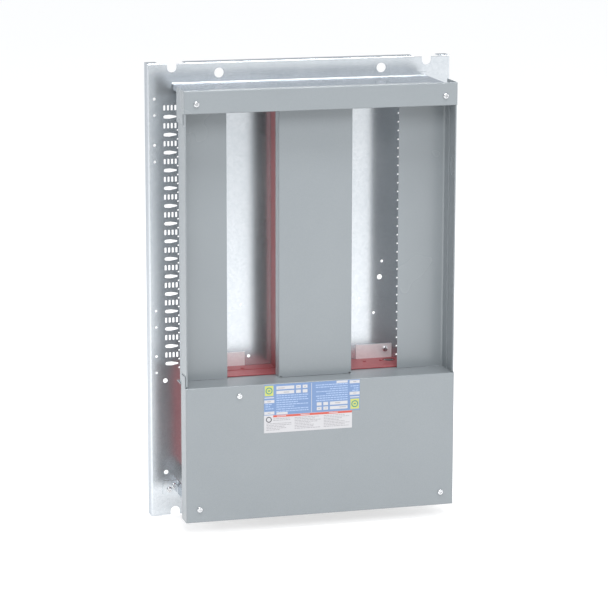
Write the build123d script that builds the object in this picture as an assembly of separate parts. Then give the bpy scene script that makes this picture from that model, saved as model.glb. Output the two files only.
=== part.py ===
from build123d import *
import os

# Interior of a plug-on distribution panelboard: a galvanised pan, a bus stack with main lugs,
# and a painted dead front made of an upper trim and a lower cover. Sizes are in millimetres.
# Frame: X to the right, Y towards the wall, Z up. The origin is the centre of the pan's four
# round mounting holes, on the pan's rear face.

os.makedirs("parts", exist_ok=True)

# Overall sizes
PAN_WIDTH = 666.75
PAN_HEIGHT = 984.25
PAN_FLANGE = 31.75          # pan's front face to the rear edge of its flanges
TRIM_REACH = 171.45         # pan's front face to the front of the trim
SIDE_MARGIN = 38.1          # pan's side to the trim's side
TOP_MARGIN = 37.5           # pan's top to the trim's top
BOTTOM_MARGIN = 29.2        # pan's bottom to the cover's bottom

# Sheet stock
PAN_SHEET = 1.9
PAINT_SHEET = 1.5
FIBRE_SHEET = 1.6
BEND = 1.0                  # inside radius of every fold
SLIDE_GAP = 0.5             # between covers that slide past each other
LAP_GAP = 0.3               # between the cover's ears and the trim's walls

# Mounting holes and open slots at the pan's ends
MOUNT_HOLE_X = 179.0
MOUNT_HOLE_EDGE = 22.9      # hole centre to the pan's end
MOUNT_HOLE_R = 10.3
END_SLOT_MARGIN = 52.4      # slot centre to the pan's side
END_SLOT_DEPTH = 19.5
RELIEF_NEAR = 22.9          # flange relief, from the pan's side
RELIEF_FAR = 81.9

# Breaker slots
SLOT_PITCH = 38.1
SLOT_TOP = 27.2             # top of the opening to the first slot
SLOT_BOTTOM = 16.0          # last slot to the bottom of the opening
SLOT_EDGE = 33.4            # pan's side to the slot's wide end
SLOT_LENGTH = 28.4
SLOT_HEIGHT = 8.4
SLOT_WIDE_END = 7.2
SLOT_NARROW_END = 3.6
VENT_WIDTH = 4.4
VENT_HEIGHT = 11.2
VENT_PITCH = 7.94
VENT_CORNER = 1.3
PILOT_R = 1.8
PILOT_EDGE = 63.6           # pan's side to the outer pilot column
PILOT_INSET = 30.2          # breaker opening's outer edge to the inner pilot column
HOOK_BELLY = 0.45           # where a hook slot is highest, as a share of its length
EDGE_HOLE_INSET = 14.0      # pan's side to the column of small holes
# Small holes of that column: drop from the opening's top, or rise from the shelf, and radius
UPPER_EDGE_HOLES = ((-11.2, 3.1), (23.7, 2.7), (87.0, 3.1), (122.5, 2.7))
LOWER_EDGE_HOLES = ((132.7, 2.7), (97.1, 2.7), (33.4, 2.9), (-2.6, 2.6))
LARGE_HOLE_INSET = 32.8
LARGE_HOLE_DROP = 20.6      # shelf to the upper large hole
LARGE_HOLE_RISE = 68.1      # cover's bottom to the lower large hole
LARGE_HOLE_RADII = (5.1, 4.9)

# Trim
CHANNEL_HEIGHT = 48.4
CHANNEL_FLANGE = 67.7
CHANNEL_LIP = 9.0
CHANNEL_TOP_RETURN = 16.0
CHANNEL_TOP_NOTCH = 56.0    # trim's side to the end of the top return
EAR_DROP = 23.2
EAR_SETBACK = 12.0
WALL_DEPTH = 57.0
HEM_DEPTH = 9.0
WALL_REAR_CHAMFER = 14.0
WALL_NOTCH = 6.0            # lower front corner cut clear of the cover's fold
HEM_TIGHTNESS = 0.1         # sheet's thickness less the hem's fold radius
CENTRE_HALF = 80.3
CENTRE_SETBACK = 50.8
CENTRE_DEPTH = 28.2
CENTRE_RELIEF_NEAR = 2.6    # corner reliefs at the foot, from the panel's side
CENTRE_RELIEF_FAR = 6.0
CENTRE_TAB_MARGIN = 10.0
CENTRE_TAB_REACH = 20.0
OPENING_WIDTH = 108.2
PANEL_SETBACK = 69.85
PANEL_FLANGE = 27.0
PANEL_BEND = 4.0            # inside radius of the side panels' fold

# Lower cover
COVER_HEIGHT = 292.0
SHELF_DEPTH = 88.9
COVER_FLANGE = 43.0
COVER_FOOT = 19.0
COVER_EAR_HEIGHT = 24.0
COVER_EAR_START = 6.5
COVER_EAR_END = 40.0
COVER_EAR_OVERLAP = 6.0     # ear's lower end, below the shelf
COVER_SIDE_DROP = 9.0       # shelf to the top of the cover's side flanges
COVER_EAR_CHAMFER = 2.0
BUS_NOTCH_GAP = 3.0         # bars to the notch in the shelf's rear edge

# Brackets
BRACKET_DROP = 5.4          # trim's top to the top bracket's top
BRACKET_HALF_GAP = 14.3     # trim's side to the top bracket's end
ARM_GAP = 19.3              # trim's side to the bottom brackets' arms
BRACKET_FRONT_LIP = 30.4
BRACKET_REAR_LIP = 8.0      # top bracket's lip up the pan, under the mounting holes
BRACKET_REAR_BEND = 2.5     # inside radius of that lip's fold
BRACKET_END_LIP = 12.0
STANDOFF_HEIGHT = 29.7
STANDOFF_RISE = 19.4        # cover's bottom to the standoff's bottom
STANDOFF_FOOT = 32.5
STANDOFF_TAB = 27.0
MID_INNER = 125.3
MID_WIDTH = 81.3
MID_HEIGHT = 32.3
MID_LEG = 40.0
MID_FIXING_INSET = 14.9     # bracket's outer end to its screw
MID_FIXING_RISE = 21.8      # shelf to that screw
FOOT_FIXINGS = ((1.1, 0.2), (11.9, 8.2))   # trim's side to the foot's screws, rise from the cover's
STANDOFF_FLATS = 12.7
STANDOFF_BORE_DEPTH = 18.0
BRACKET_LIP_INSET = 8.0     # bracket's front and rear faces to its end lips

# Red fibre barriers
BARRIER_LIFT = 2.4          # shelf's top to the barrier shelf's top
BARRIER_NEAR = 80.5         # front of the trim to the barrier shelf's front edge
BARRIER_SIDE = 40.3         # trim's side to the side barrier
BARRIER_SETBACK = 41.5
BARRIER_BOTTOM = 71.0
BARRIER_FOOT = 17.0
BARRIER_HOLE_R = 12.7
BARRIER_HOLE_X = 194.0
BARRIER_HOLE_BACK = 24.0    # pan's front face to the hole's centre
BARRIER_HOLE_MARGIN = 1.0   # by which the bracket's hole is larger in radius
BUS_CHANNEL_HALF = 66.0
BUS_CHANNEL_GAP = 12.8      # rear bar to the channel's front edges
BUS_CHANNEL_FOOT = 8.0      # top of the lugs to the channel's lower end
BUS_CHANNEL_HEAD = 26.0     # top bracket's top to the channel's upper end
BARRIER_GAP = 4.0           # barrier shelf to the side barrier below it
RIDGE_REACH = 39.0          # pan to the front of the left shelf's doubled strip
RIVET_R = 4.0
RIVET_HEIGHT = 1.4
RIVET_NEAR = 12.0           # bracket's inner end to its first rivet
RIVET_FAR = 32.0            # bracket's outer end to its second rivet
RIVET_BACK = 28.0           # pan to the rivets

# Bus stack
BUS_HALF = 60.0
BUS_THICK = 6.35
BUS_GAP = 9.65
BUS_SETBACK = 83.8          # front of the trim to the front bar
BUS_TOP_GAP = 18.0          # channel's bottom to the bars' top
SUPPORT_HEIGHT = 44.0
SUPPORT_MARGIN = 60.0
SUPPORT_CLEARANCE = 1.0
CAP_THICK = 8.0
CLAMP_X = 38.0
CLAMP_R = 3.0
CLAMP_CLEARANCE = 0.3
CLAMP_FLATS = 10.0
CLAMP_HEAD = 4.0
CLAMP_TAIL = 4.0            # bolt's end beyond its nut
BOSS_R = 7.0
BOSS_CLEARANCE = 0.4

# Main lugs
LUG_PITCH = 120.0
LUG_TOP = 71.0              # shelf to the top of the lug's palm
LUG_WIDTH = 62.0
LUG_DEPTH = 46.0
LUG_PALM = 26.0
LUG_PALM_THICK = 14.0
LUG_BODY = 50.0
LUG_BORE_R = 10.7
LUG_BORE_DEPTH = 42.0
LUG_BORE_BACK = 18.0
LUG_BORE_X = 15.0
ARM_TOP = 29.0              # shelf to the top of the bars' side arms
ARM_HEIGHT = 35.0
SET_SCREW_R = 8.7
SET_SCREW_CLEARANCE = 0.05
SET_SCREW_LENGTH = 22.0
SET_SCREW_REST = 0.8        # screw's tip to the cable bore
SET_SCREW_CHAMFER = 1.0
SOCKET_FLATS = 8.0
SOCKET_DEPTH = 8.0
LUG_SHOULDER_R = 4.0
LUG_TOP_R = 3.0
LUG_BOLT_CLEARANCE = 0.3
LUG_BOLT_FLATS = 16.0
LUG_BOLT_HEAD = 6.5
LUG_BOLT_R = 5.0
LUG_BOLT_LENGTH = 32.0
STRAP_BOLT_LENGTH = 19.0
INSULATOR_R = 19.0
INSULATOR_GROOVE = 3.0
INSULATOR_GROOVE_WIDTH = 4.0
INSULATOR_THREAD_DEPTH = 15.0
THREAD_CLEARANCE = 0.1

# Neutral
NEUTRAL_BACK = 5.0          # rear bar's front face to the neutral strap's front face
NEUTRAL_HALF_HEIGHT = 20.0
NEUTRAL_DROP = 41.0         # main lugs' bottom to the neutral lug's top
NEUTRAL_LUG_INSET = 50.0
NEUTRAL_END_GAP = 20.0
TERMINAL_COUNT = 6
TERMINAL_PITCH = 14.0
TERMINAL_HEIGHT = 24.0
TERMINAL_DEPTH = 18.0
WIRE_HOLE_R = 3.6
TERMINAL_SCREW_R = 3.0
TERMINAL_CLEARANCE = 0.1
TERMINAL_START = 4.0        # strap's end to the terminal block
TERMINAL_BORE_BACK = 7.0    # strap's front to the wire holes
TERMINAL_SCREW_OUT = 3.0
TERMINAL_SCREW_IN = 7.0
TERMINAL_SLOT_WIDTH = 1.2
TERMINAL_SLOT_DEPTH = 1.4

# Fasteners
HEAD_R = 6.2
HEAD_HEIGHT = 3.6
SHANK_R = 3.0
SHANK_LENGTH = 15.0
HEAD_ROUND = 0.7            # head's edge radius, as a share of its height
RECESS_LENGTH = 6.0
RECESS_WIDTH = 2.0
RECESS_DEPTH = 2.2
SCREW_HOLE_R = 3.5
SCREW_EDGE = 26.5           # trim's side to the front screws
NUT_FLATS = 11.0
NUT_THICK = 5.0
NUT_HOLE_R = 3.3
CHANNEL_SCREW_DROP = 27.9   # trim's top to its screws
COVER_SCREW_RISE = 28.6
COVER_SCREW_SHIFT = 2.0     # cover's corner screws, inwards of the channel's
COVER_SCREW_DROP = 22.4
MID_SCREW_INSET = 115.775   # trim's side to the cover's middle screw

# Label
LABEL_LEFT = 168.8          # trim's side to the label's left edge
LABEL_WIDTH = 210.5
LABEL_LOWER_WIDTH = 193.5
LABEL_UPPER_HEIGHT = 66.5
LABEL_HEIGHT = 104.8
LABEL_DROP = 1.6
LABEL_THICK = 0.3

# Derived planes and places
PAN_Y = -PAN_SHEET
TRIM_Y = PAN_Y - TRIM_REACH
PAN_SIDE = PAN_WIDTH / 2
PAN_END = PAN_HEIGHT / 2
TRIM_SIDE = PAN_SIDE - SIDE_MARGIN
TRIM_TOP = PAN_END - TOP_MARGIN
TRIM_BOTTOM = BOTTOM_MARGIN - PAN_END
OPENING_TOP = TRIM_TOP - CHANNEL_HEIGHT
SHELF_Z = TRIM_BOTTOM + COVER_HEIGHT
OPENING_EDGE = CENTRE_HALF + OPENING_WIDTH
WALL_SIDE = TRIM_SIDE - PAINT_SHEET
COVER_SIDE = TRIM_SIDE + LAP_GAP
BARRIER_Z = SHELF_Z + BARRIER_LIFT
BAR_PITCH = BUS_THICK + BUS_GAP
BAR_FRONT = {"c": TRIM_Y + BUS_SETBACK}
BAR_FRONT["b"] = BAR_FRONT["c"] + BAR_PITCH
BAR_FRONT["a"] = BAR_FRONT["b"] + BAR_PITCH
BAR_REAR = BAR_FRONT["a"] + BUS_THICK
LUG_X = {"a": -LUG_PITCH, "b": 0.0, "c": LUG_PITCH}
LUG_TOP_Z = SHELF_Z - LUG_TOP
LUG_BOTTOM_Z = LUG_TOP_Z - LUG_PALM - LUG_BODY
NEUTRAL_Y = BAR_FRONT["a"] + NEUTRAL_BACK
NEUTRAL_LUG_X = TRIM_SIDE - BARRIER_SIDE - NEUTRAL_LUG_INSET
NEUTRAL_TOP_Z = LUG_BOTTOM_Z - NEUTRAL_DROP
FRONT_SCREW_X = TRIM_SIDE - SCREW_EDGE
COVER_SCREW_X = FRONT_SCREW_X - COVER_SCREW_SHIFT
MID_SCREW_X = TRIM_SIDE - MID_SCREW_INSET
CHANNEL_SCREW_Z = TRIM_TOP - CHANNEL_SCREW_DROP
COVER_SCREW_Z = TRIM_BOTTOM + COVER_SCREW_RISE
MID_SCREW_Z = SHELF_Z - COVER_SCREW_DROP
TAB_Y = TRIM_Y + PAINT_SHEET + SLIDE_GAP
SIDES = {"left": -1, "right": 1}
SPARE_HOLES = (             # place across, drop from the opening's middle, radius
    (-CENTRE_HALF - 52.7, 151.6, 2.6),
    (-CENTRE_HALF - 35.7, 265.5, 3.5),
    (CENTRE_HALF + 52.7, 151.6, 2.6),
    (OPENING_EDGE - 4.8, 71.4, 3.1),
    (OPENING_EDGE - 9.9, 106.2, 5.7),
    (OPENING_EDGE - 22.7, 185.2, 3.0),
)


# ------------------------------------------------------------------ helpers

def block(x0, x1, y0, y1, z0, z1):
    """A box between two corners, in any order."""
    size = Box(abs(x1 - x0), abs(y1 - y0), abs(z1 - z0))
    return Pos((x0 + x1) / 2, (y0 + y1) / 2, (z0 + z1) / 2) * size


def rod(x, z, radius, y0, y1):
    """A round bar along Y."""
    return Pos(x, (y0 + y1) / 2, z) * Rot(90, 0, 0) * Cylinder(radius, abs(y1 - y0))


def post(x, y, radius, z0, z1):
    """A round bar along Z."""
    return Pos(x, y, (z0 + z1) / 2) * Cylinder(radius, abs(z1 - z0))


def hexagon(x, z, flats, y0, y1):
    """A hexagonal bar along Y, given its size across the flats."""
    outline = Plane.XZ * Pos(x, z) * RegularPolygon(flats / 2, 6, major_radius=False)
    return Pos(0, max(y0, y1), 0) * extrude(outline, amount=abs(y1 - y0))


def edges_at(part, along, **place):
    """Edges parallel to an axis, with the centre at the given x, y or z."""
    chosen = part.edges().filter_by(along)
    for name, value in place.items():
        chosen = ShapeList(e for e in chosen if abs(getattr(e.center(), name.upper()) - value) < 0.01)
    return chosen


def fold(part, along, radius, **place):
    """Rounds the fold lines found by edges_at."""
    return fillet(edges_at(part, along, **place), radius)


def tray(x, y_front, depth, z0, z1, sheet):
    """A folded sheet open at the back, half-width x, with all four front edges bent."""
    outer = block(-x, x, y_front, y_front + depth, z0, z1)
    front = outer.edges().filter_by(Axis.X) + outer.edges().filter_by(Axis.Z)
    outer = fillet([e for e in front if abs(e.center().Y - y_front) < 0.01], BEND + sheet)
    inner = block(-x + sheet, x - sheet, y_front + sheet, y_front + depth + sheet, z0 + sheet, z1 - sheet)
    front = inner.edges().filter_by(Axis.X) + inner.edges().filter_by(Axis.Z)
    inner = fillet([e for e in front if abs(e.center().Y - y_front - sheet) < 0.01], BEND)
    return outer - inner


def mirrored(part, side):
    """The piece made for the right, or its mirror image for the left."""
    return part if side > 0 else mirror(part, about=Plane.YZ)


def together(parts):
    """Separate solids kept as one group."""
    return Compound(children=list(parts))


def save(shape, node):
    export_step(shape, f"parts/{node}.step")


# ------------------------------------------------------------------ pan

def slot_rows():
    """Heights of the breaker slots, from the top of the opening down."""
    room = OPENING_TOP - SLOT_TOP - SLOT_BOTTOM - SHELF_Z
    count = int(room / SLOT_PITCH) + 1
    return [OPENING_TOP - SLOT_TOP - n * SLOT_PITCH for n in range(count)]


def slot_outline():
    """A hook slot, wide at its outer end and narrow at its inner one, from x = 0 inwards."""
    wide = Pos(SLOT_WIDE_END / 2, 0) * Circle(SLOT_WIDE_END / 2)
    belly = Pos(SLOT_LENGTH * HOOK_BELLY, 0) * Circle(SLOT_HEIGHT / 2)
    narrow = Pos(SLOT_LENGTH - SLOT_NARROW_END / 2, 0) * Circle(SLOT_NARROW_END / 2)
    return make_hull([*wide.edges(), *belly.edges(), *narrow.edges()])


def pan_side_cuts(side):
    """Slots, vents and pilot holes of one side of the pan, as 2-D outlines in X and Z."""
    slot = slot_outline()
    vent = RectangleRounded(VENT_WIDTH, VENT_HEIGHT, VENT_CORNER)
    cuts = []
    for z in slot_rows():
        outer = PAN_SIDE - SLOT_EDGE
        cuts.append(Pos(side * outer, z) * Rot(0, 0, 180 if side > 0 else 0) * slot)
        for n in range(4):
            cuts.append(Pos(side * (outer - VENT_WIDTH / 2 - n * VENT_PITCH), z + SLOT_PITCH / 2) * vent)
        for x in (PAN_SIDE - PILOT_EDGE, OPENING_EDGE + PILOT_INSET):
            for lift in (-SLOT_PITCH / 4, SLOT_PITCH / 4):
                cuts.append(Pos(side * x, z + lift) * Circle(PILOT_R))
    column = side * (PAN_SIDE - EDGE_HOLE_INSET)
    cuts += [Pos(column, OPENING_TOP - drop) * Circle(radius) for drop, radius in UPPER_EDGE_HOLES]
    cuts += [Pos(column, SHELF_Z + rise) * Circle(radius) for rise, radius in LOWER_EDGE_HOLES]
    heights = (SHELF_Z - LARGE_HOLE_DROP, TRIM_BOTTOM + LARGE_HOLE_RISE)
    for z, radius in zip(heights, LARGE_HOLE_RADII):
        cuts.append(Pos(side * (PAN_SIDE - LARGE_HOLE_INSET), z) * Circle(radius))
    return cuts


def pan_end_cuts(end):
    """Mounting holes and open slots at one end of the pan."""
    cuts = []
    for side in SIDES.values():
        cuts.append(Pos(side * MOUNT_HOLE_X, end * (PAN_END - MOUNT_HOLE_EDGE)) * Circle(MOUNT_HOLE_R))
        x = side * (PAN_SIDE - END_SLOT_MARGIN)
        bottom = PAN_END - END_SLOT_DEPTH + MOUNT_HOLE_R
        open_part = Pos(x, end * (bottom + PAN_END) / 2) * Rectangle(2 * MOUNT_HOLE_R, PAN_END - bottom + 2)
        cuts.append(open_part + Pos(x, end * bottom) * Circle(MOUNT_HOLE_R))
    return cuts


def pan_centre_cuts():
    """Spare fixing holes inside the breaker openings."""
    middle = (OPENING_TOP + SHELF_Z) / 2
    cuts = []
    for x, drop, radius in SPARE_HOLES:
        cuts.append(Pos(x, middle - drop) * Circle(radius))
    return cuts


def back_pan():
    pan = tray(PAN_SIDE, PAN_Y, PAN_FLANGE, -PAN_END, PAN_END, PAN_SHEET)
    for end in (-1, 1):
        for side in SIDES.values():
            near, far = side * (PAN_SIDE - RELIEF_NEAR), side * (PAN_SIDE - RELIEF_FAR)
            pan -= block(near, far, PAN_Y - 1, PAN_FLANGE, end * (PAN_END - PAN_SHEET), end * (PAN_END + 1))
    outlines = pan_side_cuts(-1) + pan_side_cuts(1) + pan_end_cuts(-1) + pan_end_cuts(1) + pan_centre_cuts()
    outlines += [Pos(x, z) * Circle(CLAMP_R + CLAMP_CLEARANCE) for x, z in clamp_places()]
    return pan - [extrude(Plane.XZ * cut, amount=2 * PAN_SHEET, both=True) for cut in outlines]


# ------------------------------------------------------------------ galvanised brackets

def top_bracket():
    """A folded shelf from the pan to the back of the trim's top channel."""
    half = TRIM_SIDE - BRACKET_HALF_GAP
    top = TRIM_TOP - BRACKET_DROP
    sheet = PAN_SHEET
    body = block(-half, half, TAB_Y, PAN_Y, top - sheet, top)
    body += block(-half, half, TAB_Y, TAB_Y + sheet, top - BRACKET_FRONT_LIP, top)
    body += block(-half, half, PAN_Y - sheet, PAN_Y, top - sheet, top + BRACKET_REAR_LIP)
    for side in SIDES.values():
        body += block(side * half, side * (half - sheet),
                      TAB_Y + BRACKET_LIP_INSET, PAN_Y - BRACKET_LIP_INSET,
                      top - BRACKET_END_LIP, top - sheet)
    body = fold(body, Axis.X, BEND + sheet, y=TAB_Y, z=top)
    body = fold(body, Axis.X, BRACKET_REAR_BEND + sheet, y=PAN_Y, z=top - sheet)
    body = fold(body, Axis.X, BRACKET_REAR_BEND, y=PAN_Y - sheet, z=top)
    for side in SIDES.values():
        body -= rod(side * FRONT_SCREW_X, CHANNEL_SCREW_Z, NUT_HOLE_R, TAB_Y - 1, TAB_Y + sheet + 1)
    return body


def bottom_bracket():
    """A folded arm from the pan to the lower corner of the cover; right-hand one."""
    z0 = TRIM_BOTTOM + STANDOFF_RISE
    z1 = z0 + STANDOFF_HEIGHT
    web = TRIM_SIDE - ARM_GAP
    inner = web - PAN_SHEET
    arm = block(inner, web, TAB_Y, PAN_Y, z0, z1)
    arm += block(inner, web + STANDOFF_FOOT, PAN_Y - PAN_SHEET, PAN_Y, z0, z1)
    arm += block(web - STANDOFF_TAB, web, TAB_Y, TAB_Y + PAN_SHEET, z0, z1)
    arm = fold(arm, Axis.Z, BEND + PAN_SHEET, x=web, y=TAB_Y)
    arm = fold(arm, Axis.Z, BEND, x=inner, y=TAB_Y + PAN_SHEET)
    arm = fold(arm, Axis.Z, BEND, x=web, y=PAN_Y - PAN_SHEET)
    return arm - rod(COVER_SCREW_X, COVER_SCREW_Z, NUT_HOLE_R, TAB_Y - 1, TAB_Y + PAN_SHEET + 1)


def mid_bracket(side):
    """An angle on the pan that carries the barrier shelf; the right one has the cable hole too."""
    x1 = MID_INNER + MID_WIDTH
    leg_top = BARRIER_Z - FIBRE_SHEET
    angle = block(MID_INNER, x1, PAN_Y - PAN_SHEET, PAN_Y, leg_top - PAN_SHEET, leg_top + MID_HEIGHT)
    angle += block(MID_INNER, x1, PAN_Y - MID_LEG, PAN_Y, leg_top - PAN_SHEET, leg_top)
    angle = fold(angle, Axis.X, BEND + PAN_SHEET, y=PAN_Y, z=leg_top - PAN_SHEET)
    if side < 0:
        return mirrored(angle, side)
    return angle - barrier_hole(BARRIER_HOLE_R + BARRIER_HOLE_MARGIN)


def cover_standoff():
    """A hexagonal pillar behind the cover's middle screw."""
    pillar = hexagon(-MID_SCREW_X, MID_SCREW_Z, STANDOFF_FLATS, TAB_Y, PAN_Y)
    return pillar - rod(-MID_SCREW_X, MID_SCREW_Z, NUT_HOLE_R, TAB_Y - 1, TAB_Y + STANDOFF_BORE_DEPTH)


def pan_screws():
    """Screws that hold the brackets to the pan."""
    places = []
    for side in SIDES.values():
        places.append((side * (MID_INNER + MID_WIDTH - MID_FIXING_INSET), SHELF_Z + MID_FIXING_RISE))
        places += [(side * (TRIM_SIDE - inset), COVER_SCREW_Z + rise) for inset, rise in FOOT_FIXINGS]
    return together(pan_head(x, z, PAN_Y - PAN_SHEET) for x, z in places)


# ------------------------------------------------------------------ fasteners

def pan_head(x, z, y):
    """A pan head standing on the plane y, towards -Y, with a cross recess."""
    head = rod(x, z, HEAD_R, y - HEAD_HEIGHT, y)
    rim = [e for e in head.edges().filter_by(GeomType.CIRCLE) if abs(e.center().Y - y + HEAD_HEIGHT) < 0.01]
    head = fillet(rim, HEAD_HEIGHT * HEAD_ROUND)
    recess_floor = y - HEAD_HEIGHT + RECESS_DEPTH
    for wide, tall in ((RECESS_LENGTH, RECESS_WIDTH), (RECESS_WIDTH, RECESS_LENGTH)):
        head -= block(x - wide / 2, x + wide / 2, y - HEAD_HEIGHT - 1, recess_floor,
                      z - tall / 2, z + tall / 2)
    return head


def long_screw(x, z):
    """A front screw: its head on the trim and its shank through to the nut."""
    return pan_head(x, z, TRIM_Y) + rod(x, z, SHANK_R, TRIM_Y, TRIM_Y + SHANK_LENGTH)


def front_screws():
    """Place of each front screw, by node."""
    return {
        "trim_screw_left": (-FRONT_SCREW_X, CHANNEL_SCREW_Z),
        "trim_screw_right": (FRONT_SCREW_X, CHANNEL_SCREW_Z),
        "cover_screw_left": (-COVER_SCREW_X, COVER_SCREW_Z),
        "cover_screw_right": (COVER_SCREW_X, COVER_SCREW_Z),
        "cover_screw_middle": (-MID_SCREW_X, MID_SCREW_Z),
    }


def clip_nuts():
    """Nuts fixed behind the brackets for the four corner screws."""
    nuts = []
    for node, (x, z) in front_screws().items():
        if node != "cover_screw_middle":
            y = TAB_Y + PAN_SHEET
            nut = hexagon(x, z, NUT_FLATS, y, y + NUT_THICK)
            nuts.append(nut - rod(x, z, NUT_HOLE_R, y - 1, y + NUT_THICK + 1))
    return together(nuts)


# ------------------------------------------------------------------ barriers

def barrier_hole(radius):
    """The cable hole through the right shelf and its bracket."""
    below = BARRIER_Z - FIBRE_SHEET - PAN_SHEET - 1
    return post(BARRIER_HOLE_X, PAN_Y - BARRIER_HOLE_BACK, radius, below, BARRIER_Z + 1)


def barrier_shelf(side):
    """A red sheet that closes the lug compartment's top on one side of the bus."""
    x0 = BUS_CHANNEL_HALF + LAP_GAP
    x1 = TRIM_SIDE - BARRIER_SIDE + FIBRE_SHEET
    y0 = TRIM_Y + BARRIER_NEAR
    y1 = PAN_Y - PAN_SHEET - LAP_GAP
    sheet = block(side * x0, side * x1, y0, y1, BARRIER_Z - FIBRE_SHEET, BARRIER_Z)
    if side > 0:
        return sheet - barrier_hole(BARRIER_HOLE_R)
    ridge = block(side * x0, side * x1, PAN_Y - RIDGE_REACH, y1, BARRIER_Z, BARRIER_Z + FIBRE_SHEET / 2)
    return sheet + ridge


def side_barrier():
    """A red sheet beside the lugs with a foot on the pan; right-hand one."""
    x = TRIM_SIDE - BARRIER_SIDE
    z0 = TRIM_BOTTOM + BARRIER_BOTTOM
    z1 = BARRIER_Z - FIBRE_SHEET - BARRIER_GAP
    sheet = block(x, x + FIBRE_SHEET, TRIM_Y + BARRIER_SETBACK, PAN_Y, z0, z1)
    sheet += block(x - BARRIER_FOOT, x + FIBRE_SHEET, PAN_Y - FIBRE_SHEET, PAN_Y, z0, z1)
    return fold(sheet, Axis.Z, BEND + FIBRE_SHEET, x=x + FIBRE_SHEET, y=PAN_Y)


def bus_channel():
    """A red channel open to the front that lines the pan behind the bus."""
    z0 = LUG_TOP_Z + BUS_CHANNEL_FOOT
    z1 = TRIM_TOP - BRACKET_DROP - BUS_CHANNEL_HEAD
    half = BUS_CHANNEL_HALF
    y0 = BAR_REAR + BUS_CHANNEL_GAP
    channel = block(-half, half, y0, PAN_Y, z0, z1)
    channel -= block(FIBRE_SHEET - half, half - FIBRE_SHEET, y0 - 1, PAN_Y - FIBRE_SHEET, z0 - 1, z1 + 1)
    for side in SIDES.values():
        channel = fold(channel, Axis.Z, BEND + FIBRE_SHEET, x=side * half, y=PAN_Y)
    return channel - [rod(x, z, CLAMP_R + CLAMP_CLEARANCE, PAN_Y - 3, PAN_Y + 1) for x, z in clamp_places()]


def barrier_rivets():
    """Rivets through the barrier shelves into their brackets."""
    rivets = []
    for side in SIDES.values():
        for x in (MID_INNER + RIVET_NEAR, MID_INNER + MID_WIDTH - RIVET_FAR):
            top = BARRIER_Z + (FIBRE_SHEET / 2 if side < 0 else 0)
            rivets.append(post(side * x, PAN_Y - RIVET_BACK, RIVET_R, top, top + RIVET_HEIGHT))
    return together(rivets)


# ------------------------------------------------------------------ bus stack

def support_heights():
    """Heights of the three bus supports."""
    top = OPENING_TOP - SUPPORT_MARGIN
    bottom = SHELF_Z + SUPPORT_MARGIN
    return (bottom, (top + bottom) / 2, top)


def clamp_places():
    return [(x, z) for z in support_heights() for x in (-CLAMP_X, CLAMP_X)]


def clamp_holes(radius):
    """Through holes for the clamp bolts, over the whole depth of the stack."""
    return [rod(x, z, radius, TRIM_Y, PAN_FLANGE) for x, z in clamp_places()]


def phase_bar(phase):
    """A flat bar with a tab for its lug; the outer bars reach it with an arm."""
    y0 = BAR_FRONT[phase]
    y1 = y0 + BUS_THICK
    top = OPENING_TOP - BUS_TOP_GAP
    arm_z = SHELF_Z - ARM_TOP
    tab = LUG_WIDTH / 2
    x = LUG_X[phase]
    bar = block(-BUS_HALF, BUS_HALF, y0, y1, arm_z, top)
    bar += block(x - tab, x + tab, y0, y1, LUG_BOTTOM_Z, arm_z + 1)
    if x:
        side = 1 if x > 0 else -1
        bar += block(-side * BUS_HALF, x + side * tab, y0, y1, arm_z - ARM_HEIGHT, arm_z)
    bar -= clamp_holes(BOSS_R + BOSS_CLEARANCE)
    return bar - rod(x, LUG_TOP_Z - LUG_PALM / 2, LUG_BOLT_R + LUG_BOLT_CLEARANCE, y0 - 1, y1 + 1)


def support_block(z, y0, y1, boss_length):
    """One moulded layer of a bus support, with bosses that stand through the bar in front."""
    half = BUS_CHANNEL_HALF - FIBRE_SHEET - SUPPORT_CLEARANCE
    layer = block(-half, half, y0, y1, z - SUPPORT_HEIGHT / 2, z + SUPPORT_HEIGHT / 2)
    for side in SIDES.values():
        if boss_length:
            layer += rod(side * CLAMP_X, z, BOSS_R, y0 - boss_length, y0)
        layer -= rod(side * CLAMP_X, z, CLAMP_R + CLAMP_CLEARANCE, y0 - boss_length - 1, y1 + 1)
    return layer


def bus_bases():
    return together(support_block(z, BAR_REAR, PAN_Y - FIBRE_SHEET, BUS_THICK) for z in support_heights())


def bus_spacers():
    fronts = [BAR_FRONT["c"] + BUS_THICK, BAR_FRONT["b"] + BUS_THICK]
    return together(support_block(z, y, y + BUS_GAP, BUS_THICK) for z in support_heights() for y in fronts)


def bus_caps():
    y = BAR_FRONT["c"]
    return together(support_block(z, y - CAP_THICK, y, 0) for z in support_heights())


def clamp_bolts():
    """Bolts through the whole stack and the pan."""
    head = BAR_FRONT["c"] - CAP_THICK
    bolts = []
    for x, z in clamp_places():
        shank = rod(x, z, CLAMP_R, head, NUT_THICK + CLAMP_TAIL)
        bolts.append(hexagon(x, z, CLAMP_FLATS, head - CLAMP_HEAD, head) + shank)
    return together(bolts)


def clamp_nuts():
    """Nuts behind the pan."""
    nuts = []
    for x, z in clamp_places():
        nuts.append(hexagon(x, z, CLAMP_FLATS, 0, NUT_THICK) - rod(x, z, CLAMP_R, -1, NUT_THICK + 1))
    return together(nuts)


# ------------------------------------------------------------------ lugs and neutral

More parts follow.
